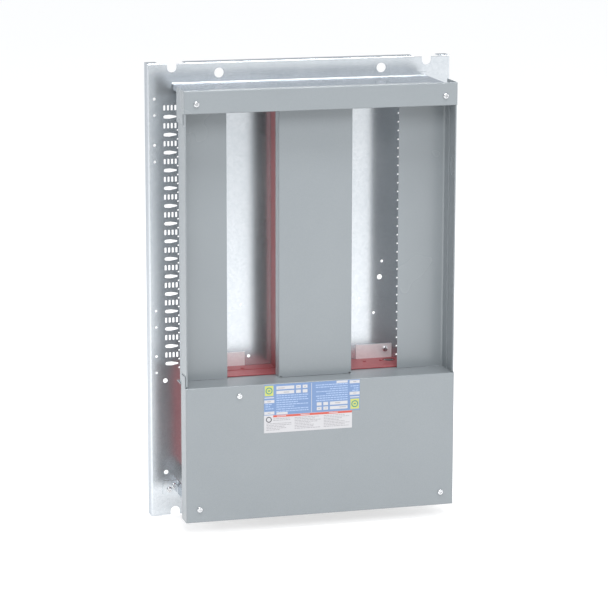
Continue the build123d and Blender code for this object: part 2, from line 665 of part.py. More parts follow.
def lug(x, top, rear):
    """A two-barrel lug whose palm is bolted against the plane y = rear."""
    half = LUG_WIDTH / 2
    shoulder = top - LUG_PALM
    bottom = shoulder - LUG_BODY
    front = rear - LUG_DEPTH
    body = block(x - half, x + half, front, rear, bottom, shoulder)
    body += block(x - half, x + half, rear - LUG_PALM_THICK, rear, shoulder, top)
    body = fold(body, Axis.X, LUG_SHOULDER_R, y=front, z=shoulder)
    body = fold(body, Axis.X, LUG_TOP_R, y=rear - LUG_PALM_THICK, z=top)
    body -= rod(x, top - LUG_PALM / 2, LUG_BOLT_R + LUG_BOLT_CLEARANCE, rear - LUG_PALM_THICK - 1, rear + 1)
    for offset in (-LUG_BORE_X, LUG_BORE_X):
        body -= post(x + offset, rear - LUG_BORE_BACK, LUG_BORE_R, bottom - 1, bottom + LUG_BORE_DEPTH)
        z = bottom + LUG_BORE_DEPTH / 2
        body -= rod(x + offset, z, SET_SCREW_R + SET_SCREW_CLEARANCE, front - 1, rear - LUG_BORE_BACK)
    return body


def set_screw(x, bottom, rear):
    """A socket set screw in one barrel, backed out clear of the cable bore."""
    tip = rear - LUG_BORE_BACK - LUG_BORE_R - SET_SCREW_REST
    z = bottom + LUG_BORE_DEPTH / 2
    head = tip - SET_SCREW_LENGTH
    screw = rod(x, z, SET_SCREW_R, head, tip)
    screw = chamfer(screw.edges().filter_by(GeomType.CIRCLE), SET_SCREW_CHAMFER)
    return screw - hexagon(x, z, SOCKET_FLATS, head - 1, head + SOCKET_DEPTH)


def lug_places():
    """Centre, top and rear plane of each lug."""
    places = {phase: (LUG_X[phase], LUG_TOP_Z, BAR_FRONT[phase]) for phase in "abc"}
    places["n"] = (NEUTRAL_LUG_X, NEUTRAL_TOP_Z, NEUTRAL_Y)
    return places


def lug_bolt(x, top, rear):
    """A hexagon bolt through a lug's palm."""
    z = top - LUG_PALM / 2
    head = rear - LUG_PALM_THICK
    shank = rod(x, z, LUG_BOLT_R, head, head + LUG_BOLT_LENGTH)
    return hexagon(x, z, LUG_BOLT_FLATS, head - LUG_BOLT_HEAD, head) + shank


def insulator(x, z, y):
    """A ribbed moulded pillar from the pan to the plane y."""
    pillar = rod(x, z, INSULATOR_R, y, PAN_Y)
    half = INSULATOR_GROOVE_WIDTH / 2
    for n in (1, 2, 3):
        middle = y + (PAN_Y - y) * n / 4
        ring = rod(x, z, INSULATOR_R + 1, middle - half, middle + half)
        pillar -= ring - rod(x, z, INSULATOR_R - INSULATOR_GROOVE, middle - half - 1, middle + half + 1)
    return pillar - rod(x, z, LUG_BOLT_R + THREAD_CLEARANCE, y - 1, y + INSULATOR_THREAD_DEPTH)


def neutral_half():
    return TRIM_SIDE - BARRIER_SIDE - NEUTRAL_END_GAP


def neutral_z():
    return NEUTRAL_TOP_Z - LUG_PALM / 2


def neutral_posts():
    return (NEUTRAL_LUG_X, -LUG_PITCH / 2)


def neutral_strap():
    """A flat bar across the lug compartment."""
    z = neutral_z()
    strap = block(-neutral_half(), neutral_half(), NEUTRAL_Y, NEUTRAL_Y + BUS_THICK,
                  z - NEUTRAL_HALF_HEIGHT, z + NEUTRAL_HALF_HEIGHT)
    hole_r = LUG_BOLT_R + LUG_BOLT_CLEARANCE
    return strap - [rod(x, z, hole_r, NEUTRAL_Y - 1, NEUTRAL_Y + BUS_THICK + 1) for x in neutral_posts()]


def terminal_places():
    first = TERMINAL_START + TERMINAL_PITCH / 2 - neutral_half()
    return [first + n * TERMINAL_PITCH for n in range(TERMINAL_COUNT)]


def terminal_bar():
    """A block of branch neutral terminals on the strap's left end."""
    x = terminal_places()
    z = neutral_z()
    y0 = NEUTRAL_Y - TERMINAL_DEPTH
    bar = block(x[0] - TERMINAL_PITCH / 2, x[-1] + TERMINAL_PITCH / 2, y0, NEUTRAL_Y,
                z - TERMINAL_HEIGHT / 2, z + TERMINAL_HEIGHT / 2)
    bore_y = NEUTRAL_Y - TERMINAL_BORE_BACK
    for place in x:
        bar -= post(place, bore_y, WIRE_HOLE_R, z - TERMINAL_HEIGHT, z + TERMINAL_HEIGHT)
        bar -= rod(place, z, TERMINAL_SCREW_R + TERMINAL_CLEARANCE, y0 - 1, bore_y)
    return bar


def terminal_screws():
    """Slotted screws of the terminal bar, part way in."""
    y0 = NEUTRAL_Y - TERMINAL_DEPTH
    z = neutral_z()
    screws = []
    half_slot = TERMINAL_SLOT_WIDTH / 2
    head = y0 - TERMINAL_SCREW_OUT
    for x in terminal_places():
        screw = rod(x, z, TERMINAL_SCREW_R, head, y0 + TERMINAL_SCREW_IN)
        slot = block(x - 5, x + 5, head - 1, head + TERMINAL_SLOT_DEPTH, z - half_slot, z + half_slot)
        screws.append(screw - slot)
    return together(screws)


def neutral_insulators():
    return together(insulator(x, neutral_z(), NEUTRAL_Y + BUS_THICK) for x in neutral_posts())


def lug_bolts():
    bolts = [lug_bolt(*place) for place in lug_places().values()]
    x, z = neutral_posts()[1], neutral_z()
    shank = rod(x, z, LUG_BOLT_R, NEUTRAL_Y, NEUTRAL_Y + STRAP_BOLT_LENGTH)
    return together([*bolts, hexagon(x, z, LUG_BOLT_FLATS, NEUTRAL_Y - LUG_BOLT_HEAD, NEUTRAL_Y) + shank])


# ------------------------------------------------------------------ painted trim

def top_channel():
    """The trim's top: short top return, deep side flanges with ears, bottom return with a lip."""
    channel = tray(TRIM_SIDE, TRIM_Y, CHANNEL_FLANGE, OPENING_TOP, TRIM_TOP, PAINT_SHEET)
    inner = TRIM_SIDE - PAINT_SHEET
    channel -= block(-inner, inner, TRIM_Y + CHANNEL_TOP_RETURN, 0, TRIM_TOP - PAINT_SHEET, TRIM_TOP + 1)
    for side in SIDES.values():
        notch = side * (TRIM_SIDE - CHANNEL_TOP_NOTCH)
        channel -= block(side * inner, notch, TRIM_Y + BEND + PAINT_SHEET, 0,
                         TRIM_TOP - PAINT_SHEET, TRIM_TOP + 1)
        channel += block(side * inner, side * TRIM_SIDE, TRIM_Y + EAR_SETBACK, TRIM_Y + CHANNEL_FLANGE,
                         OPENING_TOP - EAR_DROP, OPENING_TOP + BEND + PAINT_SHEET)
        channel -= rod(side * FRONT_SCREW_X, CHANNEL_SCREW_Z, SCREW_HOLE_R,
                       TRIM_Y - 1, TRIM_Y + PAINT_SHEET + 1)
    lip_y = TRIM_Y + PANEL_SETBACK
    channel += block(-inner, inner, TRIM_Y + CHANNEL_FLANGE - 1, lip_y,
                     OPENING_TOP, OPENING_TOP + PAINT_SHEET)
    channel += block(-inner + 2, inner - 2, lip_y - PAINT_SHEET, lip_y,
                     OPENING_TOP, OPENING_TOP + CHANNEL_LIP)
    notch = CENTRE_HALF + LAP_GAP
    return channel - block(-notch, notch, TRIM_Y + CENTRE_SETBACK - LAP_GAP, TRIM_Y + PANEL_SETBACK + 1,
                           OPENING_TOP - 1, OPENING_TOP + CHANNEL_LIP + 1)


def trim_wall():
    """A flat side wall with a hemmed front edge; right-hand one."""
    z0 = SHELF_Z + SLIDE_GAP
    z1 = OPENING_TOP - LAP_GAP
    x1 = WALL_SIDE
    x0 = x1 - PAINT_SHEET
    wall = block(x0, x1, TRIM_Y, TRIM_Y + WALL_DEPTH, z0, z1)
    wall += block(x0 - PAINT_SHEET, x0, TRIM_Y, TRIM_Y + HEM_DEPTH, z0, z1)
    wall = fold(wall, Axis.Z, PAINT_SHEET - HEM_TIGHTNESS, x=x1, y=TRIM_Y)
    wall = fold(wall, Axis.Z, PAINT_SHEET - HEM_TIGHTNESS, x=x0 - PAINT_SHEET, y=TRIM_Y)
    wall = chamfer(edges_at(wall, Axis.X, y=TRIM_Y + WALL_DEPTH, z=z0), WALL_REAR_CHAMFER)
    front = [(TRIM_Y - 1, z0 - 1), (TRIM_Y + WALL_NOTCH, z0 - 1), (TRIM_Y - 1, z0 + WALL_NOTCH)]
    return wall - Pos(x0 - 5, 0, 0) * extrude(Plane.YZ * Polygon(*front, align=None), amount=10)


def side_panel():
    """A recessed panel beside the breaker opening, with a flange lapped inside the wall; right-hand one."""
    z0 = SHELF_Z + SLIDE_GAP
    z1 = OPENING_TOP + CHANNEL_LIP
    x1 = WALL_SIDE - PAINT_SHEET
    y0 = TRIM_Y + PANEL_SETBACK
    y1 = y0 + PAINT_SHEET
    shoulder = OPENING_TOP - LAP_GAP
    panel = block(OPENING_EDGE, x1, y0, y1, z0, shoulder)
    panel += block(x1 - PAINT_SHEET, x1, y0 - PANEL_FLANGE, y1, z0, shoulder)
    panel = fold(panel, Axis.Z, PANEL_BEND, x=x1 - PAINT_SHEET, y=y0)
    panel = fold(panel, Axis.Z, PANEL_BEND + PAINT_SHEET, x=x1, y=y1)
    return panel + block(OPENING_EDGE, x1 - PANEL_BEND - PAINT_SHEET, y0, y1, shoulder, z1)


def centre_panel():
    """The cover over the bus: a shallow channel with a foot at the bottom and a tab at the top."""
    half = CENTRE_HALF
    y0 = TRIM_Y + CENTRE_SETBACK
    y1 = y0 + CENTRE_DEPTH
    z0 = SHELF_Z + SLIDE_GAP
    z1 = OPENING_TOP + PAINT_SHEET
    panel = block(-half, half, y0, y1, z0, z1)
    panel = fold(panel, Axis.Z, BEND + PAINT_SHEET, x=half, y=y0)
    panel = fold(panel, Axis.Z, BEND + PAINT_SHEET, x=-half, y=y0)
    hollow = block(PAINT_SHEET - half, half - PAINT_SHEET, y0 + PAINT_SHEET, y1 + 1, z0 + PAINT_SHEET, z1 + 1)
    hollow = fold(hollow, Axis.Z, BEND, x=half - PAINT_SHEET, y=y0 + PAINT_SHEET)
    hollow = fold(hollow, Axis.Z, BEND, x=PAINT_SHEET - half, y=y0 + PAINT_SHEET)
    panel -= hollow
    for side in SIDES.values():
        near, far = side * (half - CENTRE_RELIEF_NEAR), side * (half - CENTRE_RELIEF_FAR)
        panel -= block(far, near, y0 - 1, y1 + 1, z0 - 1, z0 + CENTRE_RELIEF_NEAR)
        panel -= block(far, near, y0 + 2 * PAINT_SHEET, y1 + 1, z0 - 1, z0 + CENTRE_RELIEF_FAR)
    tab_z = OPENING_TOP + PAINT_SHEET
    tab = half - CENTRE_TAB_MARGIN
    return panel + block(-tab, tab, y0 - CENTRE_TAB_REACH, y0 + PAINT_SHEET, tab_z, tab_z + PAINT_SHEET)


# ------------------------------------------------------------------ lower cover

def lower_cover():
    """The cover of the lug compartment: a deep top shelf, side flanges with ears, and a short foot."""
    cover = tray(COVER_SIDE, TRIM_Y, SHELF_DEPTH, TRIM_BOTTOM, SHELF_Z, PAINT_SHEET)
    inner = COVER_SIDE - PAINT_SHEET
    cover -= block(-COVER_SIDE - 1, COVER_SIDE + 1, TRIM_Y + COVER_FLANGE, 0,
                   TRIM_BOTTOM - 1, SHELF_Z - PAINT_SHEET)
    cover -= block(-inner, inner, TRIM_Y + COVER_FOOT, 0, TRIM_BOTTOM - 1, TRIM_BOTTOM + PAINT_SHEET)
    for side in SIDES.values():
        cover -= block(side * inner, side * (COVER_SIDE + 1), TRIM_Y + COVER_FLANGE, 0,
                       SHELF_Z - COVER_SIDE_DROP, SHELF_Z + 1)
        ear = block(side * inner, side * COVER_SIDE, TRIM_Y + COVER_EAR_START, TRIM_Y + COVER_EAR_END,
                    SHELF_Z - COVER_EAR_OVERLAP, SHELF_Z + COVER_EAR_HEIGHT)
        corner = edges_at(ear, Axis.X, y=TRIM_Y + COVER_EAR_START, z=SHELF_Z + COVER_EAR_HEIGHT)
        cover += chamfer(corner, COVER_EAR_CHAMFER)
    bus = BUS_HALF + BUS_NOTCH_GAP
    cover -= block(-bus, bus, TRIM_Y + BUS_SETBACK - BUS_NOTCH_GAP, 0, SHELF_Z - PAINT_SHEET - 1, SHELF_Z + 1)
    places = [(x, z) for node, (x, z) in front_screws().items() if node.startswith("cover")]
    return cover - [rod(x, z, SCREW_HOLE_R, TRIM_Y - 1, TRIM_Y + PAINT_SHEET + 1) for x, z in places]


def rating_label():
    """A thin label on the cover, wider in its upper part."""
    x0 = LABEL_LEFT - TRIM_SIDE
    top = SHELF_Z - LABEL_DROP
    upper = block(x0, x0 + LABEL_WIDTH, TRIM_Y - LABEL_THICK, TRIM_Y, top - LABEL_UPPER_HEIGHT, top)
    lower = block(x0, x0 + LABEL_LOWER_WIDTH, TRIM_Y - LABEL_THICK, TRIM_Y, top - LABEL_HEIGHT, top)
    return upper + lower


# ------------------------------------------------------------------ write every piece

def main():
    save(back_pan(), "back_pan")
    save(top_bracket(), "top_bracket")
    save(cover_standoff(), "cover_standoff")
    save(pan_screws(), "bracket_screws")
    save(clip_nuts(), "clip_nuts")
    save(barrier_rivets(), "barrier_rivets")
    save(bus_channel(), "bus_channel")
    save(bus_bases(), "bus_support_bases")
    save(bus_spacers(), "bus_support_spacers")
    save(bus_caps(), "bus_support_caps")
    save(clamp_bolts(), "bus_clamp_bolts")
    save(clamp_nuts(), "bus_clamp_nuts")
    save(neutral_strap(), "neutral_strap")
    save(terminal_bar(), "neutral_terminal_bar")
    save(terminal_screws(), "neutral_terminal_screws")
    save(neutral_insulators(), "neutral_insulators")
    save(lug_bolts(), "lug_bolts")
    save(top_channel(), "top_channel")
    save(centre_panel(), "centre_panel")
    save(lower_cover(), "lower_cover")
    save(rating_label(), "rating_label")
    for name, side in SIDES.items():
        save(mirrored(bottom_bracket(), side), f"bottom_bracket_{name}")
        save(mid_bracket(side), f"mid_bracket_{name}")
        save(barrier_shelf(side), f"barrier_shelf_{name}")
        save(mirrored(side_barrier(), side), f"side_barrier_{name}")
        save(mirrored(trim_wall(), side), f"trim_wall_{name}")
        save(mirrored(side_panel(), side), f"side_panel_{name}")
    for phase, (x, top, rear) in lug_places().items():
        save(lug(x, top, rear), "neutral_lug" if phase == "n" else f"phase_lug_{phase}")
        bottom = top - LUG_PALM - LUG_BODY
        for number, offset in ((1, -LUG_BORE_X), (2, LUG_BORE_X)):
            save(set_screw(x + offset, bottom, rear), f"lug_screw_{phase}{number}")
        if phase != "n":
            save(phase_bar(phase), f"phase_bar_{phase}")
            save(insulator(x, top - LUG_PALM / 2, rear + BUS_THICK), f"lug_insulator_{phase}")
    for node, (x, z) in front_screws().items():
        save(long_screw(x, z), node)


main()
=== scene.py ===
# %% [markdown]
# # A panelboard interior, dressed and lit
# This lesson takes the solid parts of a panelboard interior (a galvanised back
# pan, a painted steel trim, bus bars, lugs and red insulating boards) and gives
# them their finishes, a printed label, soft studio light and a camera.
# The parts arrive as a fixed frame: each one already sits where it belongs, in
# metres, with X to the right, Y to the back and Z up.

# %% Load the frame
import math
import random

import bmesh
import bpy
from mathutils import Matrix, Vector


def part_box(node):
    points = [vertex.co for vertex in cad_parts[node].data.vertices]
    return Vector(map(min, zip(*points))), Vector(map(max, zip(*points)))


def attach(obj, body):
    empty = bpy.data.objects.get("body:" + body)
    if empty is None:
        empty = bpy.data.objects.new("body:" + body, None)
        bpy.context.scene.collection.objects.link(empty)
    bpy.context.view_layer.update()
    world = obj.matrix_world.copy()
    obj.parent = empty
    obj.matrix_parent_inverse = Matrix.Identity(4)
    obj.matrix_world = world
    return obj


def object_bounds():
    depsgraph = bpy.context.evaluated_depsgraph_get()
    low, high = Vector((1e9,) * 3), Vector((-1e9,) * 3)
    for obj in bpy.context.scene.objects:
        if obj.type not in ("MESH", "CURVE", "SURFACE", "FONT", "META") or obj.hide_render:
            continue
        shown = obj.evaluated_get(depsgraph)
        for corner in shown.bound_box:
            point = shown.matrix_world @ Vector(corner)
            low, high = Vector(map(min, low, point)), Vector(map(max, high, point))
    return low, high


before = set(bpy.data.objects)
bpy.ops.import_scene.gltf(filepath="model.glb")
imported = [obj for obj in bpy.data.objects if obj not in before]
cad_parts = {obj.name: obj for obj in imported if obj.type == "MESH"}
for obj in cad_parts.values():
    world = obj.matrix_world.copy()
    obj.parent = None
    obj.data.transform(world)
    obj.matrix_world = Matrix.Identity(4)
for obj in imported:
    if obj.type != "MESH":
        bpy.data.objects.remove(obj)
cad_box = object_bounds()

# %% [markdown]
# ## Node helpers
# Every finish below is a small shader graph. A graph is quicker to read when
# each line makes one node, so these helpers make a node, fill its sockets and
# wire up whatever is passed in. A number goes straight into the socket and an
# output socket becomes a link.

# %% Node helpers
MM = 0.001


def add_node(tree, kind, settings=None, **sockets):
    """One node: its settings, then its sockets by name with _ for a space."""
    node = tree.nodes.new(kind)
    for name, value in (settings or {}).items():
        setattr(node, name, value)
    for name, value in sockets.items():
        plug_in(tree, node.inputs[name.replace("_", " ")], value)
    return node


def plug_in(tree, socket, value):
    """Links an output, or sets the number or colour."""
    if isinstance(value, bpy.types.NodeSocket):
        tree.links.new(value, socket)
    else:
        socket.default_value = value


def sums(tree, operation, a, b=0.0, clamp=False):
    """A Math node's result for a and b."""
    node = add_node(tree, "ShaderNodeMath",
                    {"operation": operation, "use_clamp": clamp})
    plug_in(tree, node.inputs[0], a)
    plug_in(tree, node.inputs[1], b)
    return node.outputs[0]


def blend_colours(tree, share, a, b, how="MIX"):
    """Mixes colour a towards colour b by share."""
    node = add_node(tree, "ShaderNodeMix",
                    {"data_type": "RGBA", "blend_type": how})
    plug_in(tree, node.inputs[0], share)
    plug_in(tree, node.inputs[6], a)
    plug_in(tree, node.inputs[7], b)
    return node.outputs[2]


def spread(tree, value, low, high, to_low, to_high):
    """Stretches value from low..high on to to_low..to_high."""
    node = add_node(tree, "ShaderNodeMapRange", {"clamp": True}, Value=value,
                    From_Min=low, From_Max=high, To_Min=to_low, To_Max=to_high)
    return node.outputs[0]


def object_place(tree, scale=(1.0, 1.0, 1.0)):
    """Object coordinates, which stay on the part when it moves."""
    texture = tree.nodes.new("ShaderNodeTexCoord")
    mapping = add_node(tree, "ShaderNodeMapping", Vector=texture.outputs["Object"],
                       Scale=scale)
    return mapping.outputs[0]


def noise(tree, place, size, detail=3.0, rough=0.55):
    """Cloudy noise whose lumps are about size metres across."""
    node = add_node(tree, "ShaderNodeTexNoise", Vector=place, Scale=1.0 / size,
                    Detail=detail, Roughness=rough)
    return node.outputs["Fac"]


def bumps(tree, height, depth, strength=1.0, under=None):
    """A Bump node of that depth in metres, over another bump if given."""
    node = add_node(tree, "ShaderNodeBump", Strength=strength, Distance=depth,
                    Height=height)
    if under is not None:
        tree.links.new(under, node.inputs["Normal"])
    return node.outputs[0]


def new_finish(name):
    """An empty material with one Principled shader: (material, tree, shader)."""
    material = bpy.data.materials.new(name)
    material.use_nodes = True
    tree = material.node_tree
    return material, tree, tree.nodes["Principled BSDF"]


def set_shader(tree, shader, **sockets):
    """Fills the shader's sockets by name, with _ for a space."""
    for name, value in sockets.items():
        plug_in(tree, shader.inputs[name.replace("_", " ")], value)


def grey(level):
    """A neutral colour of that level."""
    return (level, level, level, 1.0)


print("Node helpers ready")

# %% [markdown]
# ## Galvanised sheet
# Zinc freezes on hot steel in flat crystals. Each crystal is one cell of
# "spangle" that throws light its own way, so the sheet is a soft mirror with a
# faint patchwork in it. A Voronoi texture gives the cells, and each cell's
# random colour shifts the tone a little. Handling dulls the zinc, so the shader
# is not fully metallic: a little of the light scatters, and the grey specular
# tint keeps edges seen at a slant from flaring. Rolling leaves fine lines up the
# sheet, made with noise that is stretched along Z. The two small angles low on
# the pan are a duller, paler zinc, and the pink tint in their colour is a
# painted reflection of the red board beside them.

# %% Galvanised sheet
SPANGLES_PER_METRE = 210.0


def galvanised_finish(name, rough_low, rough_high, dark, light, metal):
    material, tree, shader = new_finish(name)
    place = object_place(tree)
    crystals = add_node(tree, "ShaderNodeTexVoronoi", Vector=place, Scale=SPANGLES_PER_METRE)
    crystal = add_node(tree, "ShaderNodeSeparateColor", Color=crystals.outputs["Color"])
    cloud = noise(tree, place, 0.11, 2.0)
    rolled = noise(tree, object_place(tree, (1.0, 1.0, 0.03)), 0.0016, 3.0)
    tone = sums(tree, "ADD", sums(tree, "MULTIPLY", crystal.outputs[0], 0.6),
                spread(tree, cloud, 0.3, 0.7, 0.0, 0.4), True)
    shine = sums(tree, "ADD", sums(tree, "MULTIPLY", rolled, 0.4),
                 spread(tree, cloud, 0.3, 0.7, 0.0, 0.6), True)
    set_shader(tree, shader, Base_Color=blend_colours(tree, tone, dark, light),
               Metallic=metal, Roughness=spread(tree, shine, 0.0, 1.0, rough_low, rough_high),
               Specular_Tint=(0.55, 0.57, 0.60, 1.0))
    return material


finishes = {"galvanised_steel": galvanised_finish(
    "galvanised_sheet", 0.19, 0.215, (0.66, 0.70, 0.735, 1.0), (0.76, 0.79, 0.82, 1.0), 0.86)}
# Duller zinc for the two low angles; the pink tint in both colours is a painted reflection of
# the red board.
bracket_zinc_painted_reflection = galvanised_finish(
    "galvanised_bracket_painted_reflection", 0.34, 0.40, (0.84, 0.80, 0.82, 1.0), (0.92, 0.88, 0.89, 1.0), 0.5)
print("Galvanised sheet ready")

# %% [markdown]
# ## Grey baked enamel
# The trim and cover are painted steel. A baked coat flows into a fine orange
# peel, so the highlight breaks up softly. The colour is nearly flat, with very
# slight clouds where the coat is thicker, and fine dust in the gloss.

# %% Grey baked enamel
def enamel_finish():
    material, tree, shader = new_finish("grey_baked_enamel")
    place = object_place(tree)
    cloud = noise(tree, place, 0.16, 2.0)
    speck = noise(tree, place, 0.0011, 2.0)
    colour = blend_colours(tree, spread(tree, cloud, 0.3, 0.7, 0.0, 1.0),
                           (0.234, 0.258, 0.274, 1.0), (0.248, 0.272, 0.288, 1.0))
    colour = blend_colours(tree, spread(tree, speck, 0.35, 0.75, 0.0, 0.12), colour,
                           (0.44, 0.47, 0.48, 1.0))
    peel = noise(tree, place, 0.0016, 2.0, 0.4)
    relief = bumps(tree, peel, 0.00004, 0.35)
    rough = spread(tree, cloud, 0.3, 0.7, 0.22, 0.28)
    set_shader(tree, shader, Base_Color=colour, Roughness=rough, Normal=relief,
               Specular_IOR_Level=0.75)
    return material


finishes["grey_enamel"] = enamel_finish()
print("Grey enamel ready")

# %% [markdown]
# ## Bright hardware
# Screws, rivets and nuts are zinc plated. Small turned parts show their gloss
# more than their colour, so this is a smooth metal with fine noise in the
# roughness. The lug set screws are darker and a little rougher.

# %% Bright hardware
def plated_finish(name, dark, light, rough_low, rough_high):
    material, tree, shader = new_finish(name)
    place = object_place(tree)
    grain = noise(tree, place, 0.0012, 4.0)
    patch = noise(tree, place, 0.009, 2.0)
    colour = blend_colours(tree, patch, dark, light)
    relief = bumps(tree, grain, 0.00002, 0.3)
    set_shader(tree, shader, Base_Color=colour, Metallic=1.0, Normal=relief,
               Roughness=spread(tree, grain, 0.3, 0.7, rough_low, rough_high))
    return material


finishes["zinc_hardware"] = plated_finish(
    "bright_zinc_plate", (0.66, 0.67, 0.69, 1.0), (0.80, 0.81, 0.82, 1.0), 0.12, 0.22)
finishes["set_screw_steel"] = plated_finish(
    "set_screw_plate", (0.50, 0.51, 0.53, 1.0), (0.66, 0.67, 0.69, 1.0), 0.25, 0.40)
print("Hardware finishes ready")

# %% [markdown]
# ## Bus bars and lugs
# The bars are drawn strip with a dull tin plate, so their grain runs along
# their length. The lugs are sawn from an extruded bar: die lines run through
# them and the plate is a little patchy.

# %% Bus bars and lugs
def drawn_finish(name, stretch, dark, light, rough_low, rough_high):
    material, tree, shader = new_finish(name)
    lines = noise(tree, object_place(tree, stretch), 0.0009, 4.0, 0.6)
    patch = noise(tree, object_place(tree), 0.03, 3.0)
    colour = blend_colours(tree, spread(tree, lines, 0.3, 0.7, 0.0, 1.0), dark, light)
    colour = blend_colours(tree, spread(tree, patch, 0.35, 0.75, 0.0, 0.35), colour, dark)
    relief = bumps(tree, lines, 0.00004, 0.3)
    set_shader(tree, shader, Base_Color=colour, Metallic=1.0, Normal=relief,
               Roughness=spread(tree, patch, 0.3, 0.7, rough_low, rough_high))
    return material


finishes["tinned_bus"] = drawn_finish(
    "tin_plated_bar", (1.0, 1.0, 0.02), (0.64, 0.64, 0.62, 1.0), (0.80, 0.80, 0.77, 1.0),
    0.26, 0.38)
finishes["lug_aluminium"] = drawn_finish(
    "tin_plated_lug", (0.04, 1.0, 1.0), (0.62, 0.63, 0.63, 1.0), (0.78, 0.79, 0.79, 1.0),
    0.30, 0.44)
print("Bus finishes ready")

# %% [markdown]
# ## Red insulating board
# The red guards are pressed glass and polyester board. Chopped glass shows
# through the resin as short pale threads in every direction, and the surface is
# a dull satin. Two stretched noises, one along each way, give the threads.

# %% Red insulating board
def board_finish():
    material, tree, shader = new_finish("red_glass_board")
    place = object_place(tree)
    mottle = noise(tree, place, 0.006, 4.0, 0.7)
    along = noise(tree, object_place(tree, (1.0, 1.0, 0.12)), 0.0010, 2.0)
    across = noise(tree, object_place(tree, (0.12, 0.4, 1.0)), 0.0010, 2.0)
    threads = sums(tree, "MAXIMUM", spread(tree, along, 0.62, 0.76, 0.0, 1.0),
                   spread(tree, across, 0.62, 0.76, 0.0, 1.0))
    colour = blend_colours(tree, spread(tree, mottle, 0.3, 0.7, 0.0, 1.0),
                           (0.27, 0.046, 0.054, 1.0), (0.36, 0.076, 0.084, 1.0))
    colour = blend_colours(tree, sums(tree, "MULTIPLY", threads, 0.30), colour,
                           (0.62, 0.32, 0.32, 1.0))
    relief = bumps(tree, sums(tree, "ADD", mottle, threads), 0.00006, 0.4)
    set_shader(tree, shader, Base_Color=colour, Normal=relief,
               Roughness=spread(tree, mottle, 0.3, 0.7, 0.36, 0.52))
    return material


finishes["red_fibre"] = board_finish()
print("Red board ready")

# %% [markdown]
# ## Black mouldings
# The bus supports and insulators are moulded black resin. A moulding is a very
# dark grey, never pure black, with a fine spark-eroded grain from its tool.

# %% Black mouldings
def moulding_finish():
    material, tree, shader = new_finish("black_moulded_resin")
    place = object_place(tree)
    grain = noise(tree, place, 0.0007, 2.0)
    cloud = noise(tree, place, 0.02, 2.0)
    colour = blend_colours(tree, cloud, (0.016, 0.016, 0.018, 1.0), (0.034, 0.034, 0.037, 1.0))
    set_shader(tree, shader, Base_Color=colour, Normal=bumps(tree, grain, 0.00004, 0.5),
               Roughness=spread(tree, grain, 0.3, 0.7, 0.40, 0.56))
    return material


finishes["black_moulding"] = moulding_finish()
print("Moulding ready")

# %% [markdown]
# ## Label film
# The rating label is a thin printed film. Printed ink is matt with a slight
# unevenness, so each ink is one material made by the same function: a flat
# colour broken by two small noises.

# %% Label film
THIN_INK_GAIN = 1.12


def ink_finish(name, red, green, blue):
    material, tree, shader = new_finish(name)
    place = object_place(tree)
    screen = noise(tree, place, 0.0006, 1.0)
    cloud = noise(tree, place, 0.03, 2.0)
    full = (red, green, blue, 1.0)
    thin = tuple(min(1.0, part * THIN_INK_GAIN + 0.01) for part in full[:3]) + (1.0,)
    share = sums(tree, "MULTIPLY", sums(tree, "ADD", screen, cloud), 0.5, True)
    set_shader(tree, shader, Base_Color=blend_colours(tree, share, full, thin),
               Roughness=spread(tree, cloud, 0.3, 0.7, 0.34, 0.46),
               Normal=bumps(tree, screen, 0.00001, 0.3))
    return material


inks = {
    "blue": ink_finish("label_ink_blue", 0.150, 0.235, 0.41),
    "pale": ink_finish("label_ink_pale", 0.33, 0.42, 0.60),
    "white": ink_finish("label_film_white", 0.50, 0.495, 0.51),
    "red": ink_finish("label_ink_red", 0.50, 0.085, 0.062),
    "yellow": ink_finish("label_ink_yellow", 0.46, 0.48, 0.13),
    "green": ink_finish("label_ink_green", 0.05, 0.22, 0.20),
    "text": ink_finish("label_ink_grey", 0.27, 0.26, 0.28),
    "dark": ink_finish("label_ink_dark", 0.07, 0.07, 0.08),
}
finishes["printed_label"] = inks["white"]
print("Inks:", ", ".join(inks))

# %% [markdown]
# ## Put the finishes on the parts
# Each part names its finish in its own material slot. Swapping the material in
# that slot keeps the part and its mesh exactly as they are. The two angles low
# on the pan get the duller zinc, whose pink tint is a painted reflection of the
# red board.

# %% Put the finishes on the parts
dressed = 0
for name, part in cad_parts.items():
    # The low angles get the duller zinc with the painted red-board reflection in its colour.
    dull = name.startswith("mid_bracket")
    for material_slot in part.material_slots:
        wanted = material_slot.material.name.split(".")[0]
        material_slot.material = bracket_zinc_painted_reflection if dull else finishes[wanted]
        dressed += 1
print("Parts dressed:", dressed)

# %% [markdown]
# ## The printed label
# The film carries two blue halves, each the other turned half round, so that it
# reads whichever way up the interior is mounted, over a plain white note. Every
# mark is a very thin slab of ink on the film. Boxes from one bmesh operator
# are quick to lay out from a table of edges. The marks are generic: bars stand
# for lines of print and a ring in a square stands for a badge.

# %% Ink slabs
label_low, label_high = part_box("rating_label")
label_left, label_top = label_low.x, label_high.z
label_front = label_low.y
INK = 0.03 * MM            # thickness of one layer of ink
INK_OVERLAP = 1.02         # each slab is this much thicker, so layers meet


def ink_slab(bm, left, right, top, bottom, level=1):
    """A slab of ink on the film, placed in mm from the label's top left."""
    wide, tall = (right - left) * MM, (bottom - top) * MM
    centre = Vector((label_left + (left + right) / 2 * MM,
                     label_front - INK * (level - 0.5),
                     label_top - (top + bottom) / 2 * MM))
    size = Matrix.Diagonal((wide, INK * INK_OVERLAP, tall, 1.0))
    bmesh.ops.create_cube(bm, size=1.0, matrix=Matrix.Translation(centre) @ size)


def finished_piece(bm, name, material, body):
    """Writes the bmesh to an object at the origin that rides on a body."""
    bmesh.ops.recalc_face_normals(bm, faces=bm.faces)
    mesh = bpy.data.meshes.new(name)
    bm.to_mesh(mesh)
    bm.free()
    piece = bpy.data.objects.new(name, mesh)
    bpy.context.scene.collection.objects.link(piece)
    mesh.materials.append(material)
    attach(piece, body)
    return piece


